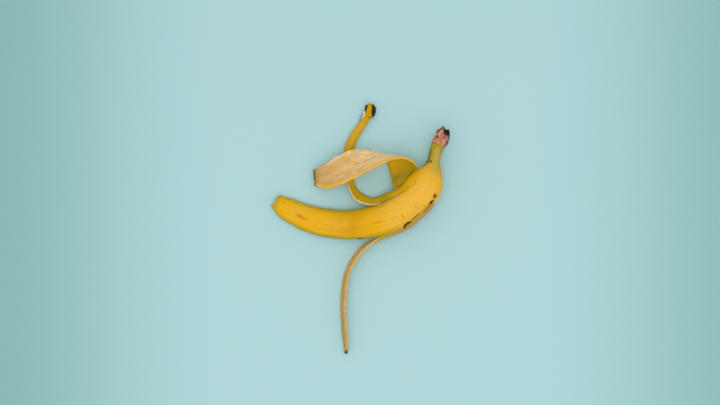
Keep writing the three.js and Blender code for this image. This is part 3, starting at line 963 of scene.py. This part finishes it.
def waxy_rind(colours):
    """Ripe banana rind: a thin waxy cuticle over yellow flesh. It is satin, faintly streaked along the
    fruit, with tiny freckles, and browns first where it is torn or knocked."""
    material, tree = blank("waxy_rind")
    place = millimetres(tree)
    deep, green, amber, tan, charred = fields(tree, "deep", "green", "amber", "tan", "charred")
    tear, flesh, edge_green = fields(tree, "tear", "flesh", "edge_green")
    broad = {"Vector": place, "Scale": 0.045, "Detail": 2.0}
    patches = add(tree, "ShaderNodeTexNoise", broad).outputs["Fac"]
    uneven = add(tree, "ShaderNodeMapRange", {"Value": patches, "From Min": 0.1, "From Max": 0.5}).outputs[0]
    skin = paint(tree, [*colours.ripe, 1], colours.deep, patches, 0.45, 0.7, 0.4)
    # The olive and amber fields lay painted shade as well as skin colour in a few places.
    for share, tint in ((deep, "deep"), (green, "olive_and_shade"), (amber, "amber"), (tan, "tan")):
        skin = paint(tree, skin, getattr(colours, tint), share, 0, 1, uneven)
    streaks = stretched(tree, flow(tree), 1.3, 28)
    skin = paint(tree, skin, colours.amber, streaks, 0.48, 0.72, 0.28)
    # Freckles: about one cell in five has a speck up to a millimetre across.
    cells = add(tree, "ShaderNodeTexVoronoi", {"Vector": place, "Scale": 0.28})
    chosen = add(tree, "ShaderNodeSeparateColor", {0: cells.outputs["Color"]}).outputs[0]
    which = add(tree, "ShaderNodeMapRange", {"Value": chosen, "From Min": 0.78, "From Max": 0.84}).outputs[0]
    skin = paint(tree, skin, colours.bruise, cells.outputs["Distance"], 0.14, 0.06, which)
    # Towards a tear the skin is greener, and beside one that shows flesh it is pale.
    skin = paint(tree, skin, colours.olive_and_shade, tear, 7, 1, edge_green)
    skin = paint(tree, skin, colours.olive_and_shade, tear, 1.8, 0.3, edge_green)
    pale = add(tree, "ShaderNodeMapRange", {"Value": flesh, "From Min": 0.5, "From Max": 0.9}).outputs[0]
    skin = paint(tree, skin, colours.cream_and_light, tear, 1.1, 0.4, pale)
    skin = marked(tree, skin, place, colours)
    skin = paint(tree, skin, colours.scar, charred, 0, 1, 0.85)
    pores = add(tree, "ShaderNodeTexNoise", {"Vector": place, "Scale": 2.2, "Detail": 2.0}).outputs["Fac"]
    relief = add(tree, "ShaderNodeMath", {0: streaks, 1: 0.8, 2: pores}, operation="MULTIPLY_ADD").outputs[0]
    surface = {
        "Roughness": 0.5,
        "IOR": 1.45,
        "Specular IOR Level": 0.15,
        "Subsurface Weight": 0.12,
        "Subsurface Radius": (1.0, 0.55, 0.12),
        "Subsurface Scale": GLOW_DEPTH * MM,
    }
    coat(tree, skin, surface, relief, 0.25, 0.12)
    return material


def soft_flesh(roughness):
    """The surface of moist plant flesh, which lets light a little way in."""
    return {
        "Roughness": roughness,
        "IOR": 1.42,
        "Specular IOR Level": 0.2,
        "Subsurface Weight": 0.2,
        "Subsurface Radius": (1.0, 0.7, 0.35),
        "Subsurface Scale": GLOW_DEPTH * MM,
    }


def fibrous_pith(colours):
    """The inner side of the peel: matt, soft and stringy, with fibres that dry to tan along the strip."""
    material, tree = blank("fibrous_pith")
    strip_place = flow(tree)
    dry, tear, flesh, charred, along = fields(tree, "tan", "tear", "flesh", "charred", "along")
    patches = stretched(tree, strip_place, 6, 16)
    tone = paint(tree, [*colours.pith, 1], colours.cream_and_light, patches, 0.48, 0.7, 0.55)
    lines = stretched(tree, strip_place, 0.9, 34, 4.0)
    tone = paint(tree, tone, colours.string, lines, 0.5, 0.66, 0.3)
    broad = stretched(tree, strip_place, 3, 60, 2.0)
    tone = paint(tree, tone, colours.cream_and_light, broad, 0.54, 0.66, 0.35)
    # Painted light: the inner side is lighter within 40 to 78 mm of each strip's root.
    tone = paint(tree, tone, colours.cream_and_light, along, 78, 40, 0.55)
    stains = stretched(tree, strip_place, 5, 11, 4.0)
    tone = paint(tree, tone, colours.rust, stains, 0.6, 0.76, 0.15)
    tone = paint(tree, tone, colours.rust, dry, 0, 1)
    # Where a torn edge shows rind, its yellow runs a little way over the flesh.
    rind = add(tree, "ShaderNodeMapRange", {"Value": flesh, "From Min": 0.3, "From Max": 0.0}).outputs[0]
    tone = paint(tree, tone, colours.torn, tear, 5, 1, rind)
    moist = {"Value": flesh, "From Min": 0.6, "From Max": 0.9, "To Max": 0.6}
    fresh = add(tree, "ShaderNodeMapRange", moist).outputs[0]
    tone = paint(tree, tone, colours.cream_and_light, tear, 3, 0.8, fresh)
    tone = paint(tree, tone, colours.scar, charred, 0.3, 1.2)
    relief = add(tree, "ShaderNodeMath", {0: lines, 1: patches}, operation="ADD").outputs[0]
    coat(tree, tone, soft_flesh(0.7), relief, 0.4, 0.25)
    return material


def torn_flesh(colours):
    """The torn edge: a line of rind, then pale spongy flesh that browns where it dries."""
    material, tree = blank("torn_flesh")
    place = millimetres(tree)
    depth, flesh, dry, charred = fields(tree, "depth", "flesh", "tan", "charred")
    patches = add(tree, "ShaderNodeTexNoise", {"Vector": place, "Scale": 0.16, "Detail": 4.0}).outputs["Fac"]
    tone = paint(tree, [*colours.cream_and_light, 1], colours.pith, patches, 0.4, 0.62)
    tone = paint(tree, tone, colours.rust, patches, 0.58, 0.72, 0.5)
    tone = paint(tree, tone, colours.rust, dry, 0, 1)
    # The rind reaches a fifth of the way in where flesh shows, and almost all the way where it doesn't.
    limit = add(tree, "ShaderNodeMath", {0: flesh, 1: -0.7, 2: 0.9}, operation="MULTIPLY_ADD").outputs[0]
    inside = add(tree, "ShaderNodeMath", {0: depth, 1: limit}, operation="SUBTRACT").outputs[0]
    tone = paint(tree, tone, colours.torn, inside, 0.12, -0.12)
    tone = paint(tree, tone, colours.scar, charred, 0, 0.8)
    sponge = add(tree, "ShaderNodeTexNoise", {"Vector": place, "Scale": 1.6, "Detail": 3.0}).outputs["Fac"]
    coat(tree, tone, soft_flesh(0.6), sponge, 0.6, 0.3)
    return material


def drying_fibre(colours):
    """The strings and frayed fibres: pale and soft where they are fresh, brown and wiry at a dry end."""
    material, tree = blank("drying_fibre")
    grain = {"Vector": millimetres(tree), "Scale": 0.3, "Detail": 2.0}
    patches = add(tree, "ShaderNodeTexNoise", grain).outputs["Fac"]
    tone = paint(tree, [*colours.cream_and_light, 1], colours.string, patches, 0.42, 0.6)
    tone = paint(tree, tone, colours.scar, fields(tree, "dry")[0], 0.2, 1)
    coat(tree, tone, {"Roughness": 0.65, "IOR": 1.42, "Specular IOR Level": 0.25})
    return material


def dry_stem_wood(colours):
    """The stem dries to corky fibre: matt, pinkish brown, creased lengthwise, and black where it broke."""
    material, tree = blank("dry_stem_wood")
    place = millimetres(tree)
    below, turn = fields(tree, "below", "turn")
    lean = {"Vector": place, "Rotation": (0, 0, math.radians(22)), "Scale": (0.55, 0.2, 0.55)}
    along = add(tree, "ShaderNodeMapping", lean).outputs[0]
    grain = add(tree, "ShaderNodeTexNoise", {"Vector": along, "Scale": 1, "Detail": 5.0}).outputs["Fac"]
    patches = add(tree, "ShaderNodeTexNoise", {"Vector": place, "Scale": 0.34, "Detail": 3.0}).outputs["Fac"]
    blotches = add(tree, "ShaderNodeTexNoise", {"Vector": place, "Scale": 0.6, "Detail": 2.0}).outputs["Fac"]
    tone = paint(tree, [*colours.wood, 1], colours.wood_pale, patches, 0.42, 0.58)
    tone = paint(tree, tone, colours.wood_dark, grain, 0.47, 0.6, 0.85)
    tone = paint(tree, tone, colours.wood_pink, blotches, 0.52, 0.62, 0.45)
    tone = paint(tree, tone, colours.wood_orange, below, 10, 14.5, 0.6)
    tone = paint(tree, tone, colours.wood_dark, turn, -56, -74, 0.9)
    # The break has charred deeper on the right of its spike than on the left.
    right = {"Value": turn, "From Min": 9, "From Max": -6, "To Max": 3.2}
    side = add(tree, "ShaderNodeMapRange", right).outputs[0]
    ragged = add(tree, "ShaderNodeMath", {0: blotches, 1: 3.4, 2: -1.5}, operation="MULTIPLY_ADD").outputs[0]
    depth = add(tree, "ShaderNodeMath", {0: side, 1: ragged}, operation="ADD").outputs[0]
    over = add(tree, "ShaderNodeMath", {0: below, 1: depth}, operation="SUBTRACT").outputs[0]
    # Painted shade: a mauve band a few millimetres below the charred edge.
    tone = paint(tree, tone, colours.mauve_shade, over, 3.4, 0.4, 0.7)
    tone = paint(tree, tone, colours.char, over, 0.7, -0.2)
    relief = add(tree, "ShaderNodeMath", {0: grain, 1: patches}, operation="ADD").outputs[0]
    coat(tree, tone, {"Roughness": 0.78, "IOR": 1.45, "Specular IOR Level": 0.2}, relief, 0.7, 0.6)
    return material


def dried_blossom(colours):
    """The dried flower end: black and brown crust with a dull sheen on its lumps."""
    material, tree = blank("dried_blossom")
    place = millimetres(tree)
    crust = add(tree, "ShaderNodeTexNoise", {"Vector": place, "Scale": 0.5, "Detail": 4.0}).outputs["Fac"]
    tone = paint(tree, [*colours.char, 1], colours.wood_dark, crust, 0.48, 0.6)
    grains = add(tree, "ShaderNodeTexNoise", {"Vector": place, "Scale": 2.4, "Detail": 3.0}).outputs["Fac"]
    coat(tree, tone, {"Roughness": 0.55, "IOR": 1.5, "Specular IOR Level": 0.15}, grains, 0.7, 0.4)
    return material


def floor_paint(colours):
    """Matt painted board: pale, with no gloss, and with painted shade that darkens it towards its left and
    right.
    """
    material, tree = blank("floor_paint")
    place = millimetres(tree)
    grain = add(tree, "ShaderNodeTexNoise", {"Vector": place, "Scale": 0.4}).outputs["Fac"]
    x = add(tree, "ShaderNodeSeparateXYZ", {0: place}).outputs[0]
    # Painted shade towards the left and right.
    tone = paint(tree, [*colours.floor, 1], colours.floor_edge_shade, x, -130, -400, 0.9)
    tone = paint(tree, tone, colours.floor_edge_shade, x, 160, 440, 0.9)
    coat(tree, tone, {"Roughness": 0.85, "Specular IOR Level": 0.2}, grain, 0.05, 0.1)
    return material


# --- Strings and fibres ---


FIBRE_TIP = 0.04  # radius in mm of the tip of a frayed fibre
STRINGS = {"flap": 6, "narrow": 2}  # how many strings cling to each strip's inner side
# A dry fibre still hangs beside the blossom tip.
HANGING_FIBRE = [(2.6, 114.6, 4.4), (0.9, 113.4, 3.6), (0, 111, 3), (-1, 108.6, 2.2), (-1.6, 106.8, 1.2)]
# How dry each frayed strip's fibres are, and which of its sides fray: -1 is the first and 1 the second.
FRAYED = {"flap": (0.0, [1]), "thin": (0.1, [-1, 1]), "narrow": (0.1, [-1, 1])}


def lines_mesh(name, lines):
    """Lines as one mesh of edges, with how dry each point is. Each line is its points and its dryness."""
    points, edges, dry = [], [], []
    for line, dryness in lines:
        edges += [(len(points) + k, len(points) + k + 1) for k in range(len(line) - 1)]
        points += [tuple(point * MM) for point in line]
        dry += [dryness] * len(line)
    made = bpy.data.meshes.new(name)
    made.from_pydata(points, edges, [])
    made.attributes.new("dry", "FLOAT", "POINT").data.foreach_set("value", dry)
    return made


def string_lines(sizes):
    """Strings along the inner side of the strips, with their ends curling off it."""
    rng = np.random.default_rng(sizes.seed)
    lines = []
    for name, count in STRINGS.items():
        grid = strip_grid(name, sizes)
        inner, normal = grid["inner"], grid["normal"]
        rows, columns = inner.shape[:2]
        for k in range(count):
            start = rng.integers(rows // 6, rows // 2)
            stop = min(rows - 2, start + rng.integers(rows // 5, rows // 2))
            column = (k + 0.5 + rng.uniform(-0.3, 0.3)) / count * (columns - 1)
            place = np.arange(start, stop)
            drift = column + 0.6 * wobble(sizes.seed + k, 25, place.astype(float))
            drift = np.clip(drift, 1, columns - 2)
            low = drift.astype(int)
            part = (drift - low)[:, None]
            line = inner[place, low] * (1 - part) + inner[place, low + 1] * part
            share = np.linspace(0, 1, len(place))
            lift = 0.1 + 0.9 * smooth(share, 0.92, 1) * rng.uniform(0.2, 1)
            lines.append((line - normal[place, low] * lift[:, None], 0.0))
    lines.append((np.array(HANGING_FIBRE), 0.8))
    return lines


def fringe_lines(sizes):
    """The torn edges that fray, from a third of the way along: their middle line with how dry it is, and the
    way out of the edge."""
    lines, outward = [], []
    for name, (dryness, ways) in FRAYED.items():
        grid = strip_grid(name, sizes)
        middle = (grid["inner"] * 2 + grid["outer"]) / 3
        rows, columns = middle.shape[:2]
        first = rows // 3
        for way in ways:
            column = 0 if way < 0 else columns - 1
            lines.append((middle[first:, column], dryness))
            outward.append(grid["sideways"][first:] * way)
        lines.append((middle[-1, 1:-1], dryness + 0.3))
        outward.append(np.repeat(grid["forward"][-1:], columns - 2, 0))
    return lines, np.concatenate(outward)


def node_group(name, sockets):
    """A new Geometry Nodes tree and what its input node gives. Its sockets are named with their kinds."""
    tree = bpy.data.node_groups.new(name, "GeometryNodeTree")
    tree.interface.new_socket("Geometry", in_out="INPUT", socket_type="NodeSocketGeometry")
    tree.interface.new_socket("Geometry", in_out="OUTPUT", socket_type="NodeSocketGeometry")
    for label, kind in sockets.items():
        tree.interface.new_socket(label, in_out="INPUT", socket_type=f"NodeSocket{kind}")
    return tree, add(tree, "NodeGroupInput").outputs


def even_curve(tree, mesh, step):
    """A mesh of edges as curves, with their points a step apart."""
    curve = add(tree, "GeometryNodeMeshToCurve", {0: mesh}).outputs[0]
    spaced = {"Curve": curve, "Length": step}
    return add(tree, "GeometryNodeResampleCurve", spaced, mode="LENGTH").outputs[0]


def tube(tree, curve, radius, sides):
    """A closed tube along a curve."""
    ring = add(tree, "GeometryNodeCurvePrimitiveCircle", {"Resolution": sides, "Radius": 1.0}).outputs[0]
    inputs = {"Curve": curve, "Profile Curve": ring, "Scale": radius, "Fill Caps": True}
    return add(tree, "GeometryNodeCurveToMesh", inputs).outputs[0]


def finish_group(tree, mesh, material):
    """Ends a tree: instances made real, then the material."""
    real = add(tree, "GeometryNodeRealizeInstances", {0: mesh})
    coated = add(tree, "GeometryNodeSetMaterial", {"Geometry": real.outputs[0], "Material": material})
    add(tree, "NodeGroupOutput", {0: coated.outputs[0]})


def string_nodes():
    """Turns lines into tapered strings that wander a little."""
    sockets = {"Radius": "Float", "Step": "Float", "Wander": "Float", "Material": "Material"}
    tree, given = node_group("strings", sockets)
    even = even_curve(tree, given[0], given["Step"])
    noise = add(tree, "ShaderNodeTexNoise", {"Scale": 180, "Detail": 1.0})
    around_half = {0: noise.outputs["Color"], 1: (0.5, 0.5, 0.5)}
    centred = add(tree, "ShaderNodeVectorMath", around_half, operation="SUBTRACT")
    wandering = {0: centred.outputs[0], "Scale": given["Wander"]}
    offset = add(tree, "ShaderNodeVectorMath", wandering, operation="SCALE").outputs[0]
    moved = add(tree, "GeometryNodeSetPosition", {"Geometry": even, "Offset": offset}).outputs[0]
    share = add(tree, "GeometryNodeSplineParameter").outputs["Factor"]
    wave = add(tree, "ShaderNodeMath", {0: share, 1: math.pi}, operation="MULTIPLY").outputs[0]
    arch = add(tree, "ShaderNodeMath", {0: wave}, operation="SINE").outputs[0]
    slender_ends = {"Value": arch, "From Max": 0.5, "To Min": 0.35, "To Max": 1}
    full = add(tree, "ShaderNodeMapRange", slender_ends).outputs[0]
    radius = add(tree, "ShaderNodeMath", {0: full, 1: given["Radius"]}, operation="MULTIPLY").outputs[0]
    finish_group(tree, tube(tree, moved, radius, 8), given["Material"])
    return tree


def fringe_nodes():
    """Sets fibres along lines, each leaning its own way out of the edge."""
    sizes = {"Spacing": "Float", "Length": "Float", "Radius": "Float"}
    tree, given = node_group("fringe", {**sizes, "Seed": "Int", "Material": "Material"})
    even = even_curve(tree, given[0], given["Spacing"])
    bends = []
    for place in ((0, 0, -0.35), (0.1, 0, 0.4), (0.4, 0, 0.8)):
        bend = {0: place, "Scale": given["Length"]}
        bends.append(add(tree, "ShaderNodeVectorMath", bend, operation="SCALE").outputs[0])
    route = {"Resolution": 5, "Start": bends[0], "Middle": bends[1], "End": bends[2]}
    spine = add(tree, "GeometryNodeCurveQuadraticBezier", route).outputs[0]
    share = add(tree, "GeometryNodeSplineParameter").outputs["Factor"]
    taper = {"Value": share, "To Min": given["Radius"], "To Max": FIBRE_TIP * MM}
    fibre = tube(tree, spine, add(tree, "ShaderNodeMapRange", taper).outputs[0], 6)
    out = add(tree, "GeometryNodeInputNamedAttribute", {"Name": "outward"}, data_type="FLOAT_VECTOR")
    aligned = add(tree, "FunctionNodeAlignRotationToVector", {"Vector": out.outputs[0]}, axis="Z")
    any_lean = {0: (-0.5, -0.5, -3.1), 1: (0.5, 0.5, 3.1), "Seed": given["Seed"]}
    lean = add(tree, "FunctionNodeRandomValue", any_lean, data_type="FLOAT_VECTOR")
    turned = add(tree, "FunctionNodeEulerToRotation", {0: lean.outputs[0]})
    both = {0: aligned.outputs[0], 1: turned.outputs[0]}
    leaning = add(tree, "FunctionNodeRotateRotation", both, rotation_space="LOCAL")
    any_size = {2: 0.25, 3: 1.1, "Seed": given["Seed"]}
    size = add(tree, "FunctionNodeRandomValue", any_size, data_type="FLOAT")
    most = {"Probability": 0.6, "Seed": given["Seed"]}
    chosen = add(tree, "FunctionNodeRandomValue", most, data_type="BOOLEAN")
    inputs = {
        "Points": even,
        "Selection": chosen.outputs[3],
        "Instance": fibre,
        "Rotation": leaning.outputs[0],
        "Scale": size.outputs[1],
    }
    placed = add(tree, "GeometryNodeInstanceOnPoints", inputs)
    finish_group(tree, placed.outputs[0], given["Material"])
    return tree


def grown(name, mesh, tree, values):
    """The mesh that a Geometry Nodes tree makes from a mesh and the values of its inputs."""
    source = bpy.data.objects.new(name, mesh)
    bpy.context.scene.collection.objects.link(source)
    nodes = source.modifiers.new(name, "NODES")
    nodes.node_group = tree
    for item in tree.interface.items_tree:
        if item.name in values:
            nodes[item.identifier] = values[item.name]
    return plain(name, source)


# --- Operators ---


# The stage, in metres: a wide floor, a weak lamp near overhead in an even sky, and a camera straight above.
FLOOR_HALF = 3.0
LAMP_PLACE = (0.06, -0.1, 1.0)
LAMP_WIDE = 0.9
LAMP_POWER = 2.6
SKY_STRENGTH = 0.86
CAMERA_PLACE = (-0.0009, 0.026, 1.3)
CAMERA_LENS = 65
CAMERA_SENSOR = 36


class PEEL_OT_skin(bpy.types.Operator):
    """Builds the skin: trunk, flap, narrow strip and thin strip, grown together"""

    bl_idname = "peel.skin"
    bl_label = "Skin"

    def execute(self, context):
        sizes = context.scene.peel_sizes
        colours = context.scene.peel_colours
        sides = [waxy_rind(colours), fibrous_pith(colours), torn_flesh(colours)]
        meshes = [trunk(sizes, sides)] + [strip(name, sizes, sides) for name in GROWN]
        piece = place_object("skin", join_solids("skin", meshes), [])
        ride(piece)
        return {"FINISHED"}


class PEEL_OT_stem(bpy.types.Operator):
    """Builds the dry stem end above the ring"""

    bl_idname = "peel.stem"
    bl_label = "Stem"

    def execute(self, context):
        piece = place_object("stem", stem_mesh(), [dry_stem_wood(context.scene.peel_colours)])
        ride(piece)
        return {"FINISHED"}


class PEEL_OT_blossom_tip(bpy.types.Operator):
    """Builds the dark cap at the narrow strip's end"""

    bl_idname = "peel.blossom_tip"
    bl_label = "Blossom tip"

    def execute(self, context):
        piece = place_object("blossom_tip", knob_mesh(), [dried_blossom(context.scene.peel_colours)])
        ride(piece)
        return {"FINISHED"}


class PEEL_OT_strings(bpy.types.Operator):
    """Lays strings on the inner side and frays the torn edges"""

    bl_idname = "peel.strings"
    bl_label = "Strings and frayed edges"

    def execute(self, context):
        sizes = context.scene.peel_sizes
        material = drying_fibre(context.scene.peel_colours)
        source = lines_mesh("string_lines", string_lines(sizes))
        values = {
            "Radius": sizes.string_radius,
            "Step": 1.5 * MM,
            "Wander": 1.2 * MM,
            "Material": material,
        }
        mesh = grown("pith_strings", source, string_nodes(), values)
        ride(place_object("pith_strings", mesh, []))
        lines, outward = fringe_lines(sizes)
        source = lines_mesh("fringe_lines", lines)
        layer = source.attributes.new("outward", "FLOAT_VECTOR", "POINT")
        layer.data.foreach_set("vector", outward.ravel())
        values = {
            "Spacing": sizes.fibre_spacing,
            "Length": sizes.fibre_length,
            "Radius": 0.14 * MM,
            "Seed": sizes.seed,
            "Material": material,
        }
        mesh = grown("torn_fringe", source, fringe_nodes(), values)
        ride(place_object("torn_fringe", mesh, []))
        return {"FINISHED"}


class PEEL_OT_flake(bpy.types.Operator):
    """Builds the loose pale flake beside the blossom tip"""

    bl_idname = "peel.flake"
    bl_label = "Flake"

    def execute(self, context):
        pith = fibrous_pith(context.scene.peel_colours)
        mesh = strip("flake", context.scene.peel_sizes, [pith, pith, pith])
        ride(place_object("tip_flake", mesh, []))
        return {"FINISHED"}


class PEEL_OT_stage(bpy.types.Operator):
    """Builds the floor, the soft light and the camera straight above"""

    bl_idname = "peel.stage"
    bl_label = "Stage"

    def execute(self, context):
        scene = context.scene
        mesh = bpy.data.meshes.new("floor")
        corners = [(x * FLOOR_HALF, y * FLOOR_HALF, 0) for x, y in ((-1, -1), (1, -1), (1, 1), (-1, 1))]
        mesh.from_pydata(corners, [], [(0, 1, 2, 3)])
        place_object("floor", mesh, [floor_paint(scene.peel_colours)])
        light = bpy.data.lights.new("overhead", "AREA")
        light.shape = "DISK"
        light.size = LAMP_WIDE
        light.energy = LAMP_POWER
        lamp = bpy.data.objects.new("overhead", light)
        lamp.location = LAMP_PLACE
        lamp.rotation_euler = Vector(LAMP_PLACE).to_track_quat("Z", "Y").to_euler()
        world = bpy.data.worlds.new("studio")
        world.use_nodes = True
        background = world.node_tree.nodes["Background"].inputs
        background["Color"].default_value = (1, 1, 1, 1)
        background["Strength"].default_value = SKY_STRENGTH
        data = bpy.data.cameras.new("above")
        data.lens = CAMERA_LENS
        data.sensor_width = CAMERA_SENSOR
        camera = bpy.data.objects.new("above", data)
        camera.location = CAMERA_PLACE
        for made in (lamp, camera):
            scene.collection.objects.link(made)
        scene.world = world
        scene.camera = camera
        scene.view_settings.view_transform = "Standard"
        return {"FINISHED"}


class PEEL_PT_panel(bpy.types.Panel):
    """Lists the peel's operators and sizes"""

    bl_label = "Banana peel"
    bl_idname = "PEEL_PT_panel"
    bl_space_type = "VIEW_3D"
    bl_region_type = "UI"
    bl_category = "Peel"

    def draw(self, context):
        layout = self.layout
        for group in (context.scene.peel_sizes, context.scene.peel_colours):
            box = layout.box()
            for key in group.bl_rna.properties.keys():
                if key not in ("rna_type", "name"):
                    box.prop(group, key)
        for operator in OPERATORS:
            layout.operator(operator.bl_idname)


OPERATORS = [PEEL_OT_skin, PEEL_OT_stem, PEEL_OT_blossom_tip, PEEL_OT_strings, PEEL_OT_flake, PEEL_OT_stage]
CLASSES = [PeelSizes, PeelColours, *OPERATORS, PEEL_PT_panel]


def register():
    for made in CLASSES:
        bpy.utils.register_class(made)
    bpy.types.Scene.peel_sizes = PointerProperty(type=PeelSizes)
    bpy.types.Scene.peel_colours = PointerProperty(type=PeelColours)


def unregister():
    del bpy.types.Scene.peel_sizes
    del bpy.types.Scene.peel_colours
    for made in reversed(CLASSES):
        bpy.utils.unregister_class(made)


def main():
    register()
    bpy.ops.peel.skin()
    bpy.ops.peel.stem()
    bpy.ops.peel.blossom_tip()
    bpy.ops.peel.strings()
    bpy.ops.peel.flake()
    bpy.ops.peel.stage()


if __name__ == "__main__":
    main()
